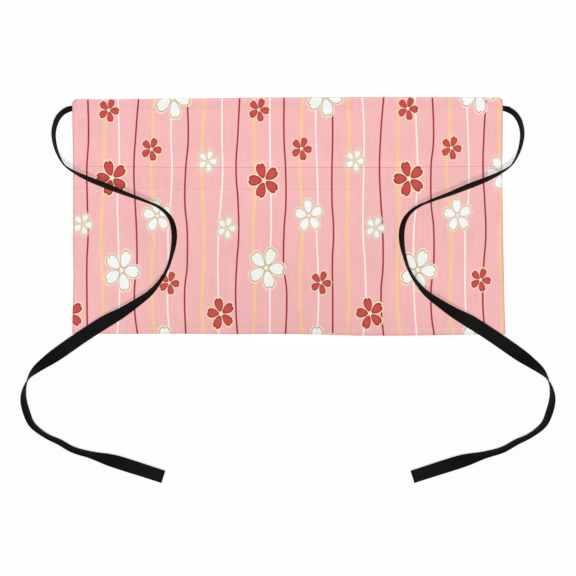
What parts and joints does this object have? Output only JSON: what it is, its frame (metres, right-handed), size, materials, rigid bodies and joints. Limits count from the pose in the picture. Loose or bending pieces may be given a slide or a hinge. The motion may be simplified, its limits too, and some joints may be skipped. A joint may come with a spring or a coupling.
{
  "type": "half waist apron",
  "caption": "Short cloth apron worn at the waist, with a wide open-topped front pocket and flat tape ties at the ends of its top hem, laid flat.",
  "frame": {"origin": "middle of the cloth's outline, on the surface that the apron lies on", "axes": "+X across the apron, +Y from the bottom edge up to the waist edge, +Z out of the front"},
  "size_m": [0.6782, 0.4918, 0.0281],
  "materials": {
    "printed_cloth": "matt plain-weave cotton, pink with printed blossoms and wavering stripes",
    "black_tape": "matt black woven tape"
  },
  "bodies": {
    "root": {"body_panel": "printed_cloth", "pocket_panel": "printed_cloth", "left_tie": "black_tape", "right_tie": "black_tape"}
  },
  "joints": []
}
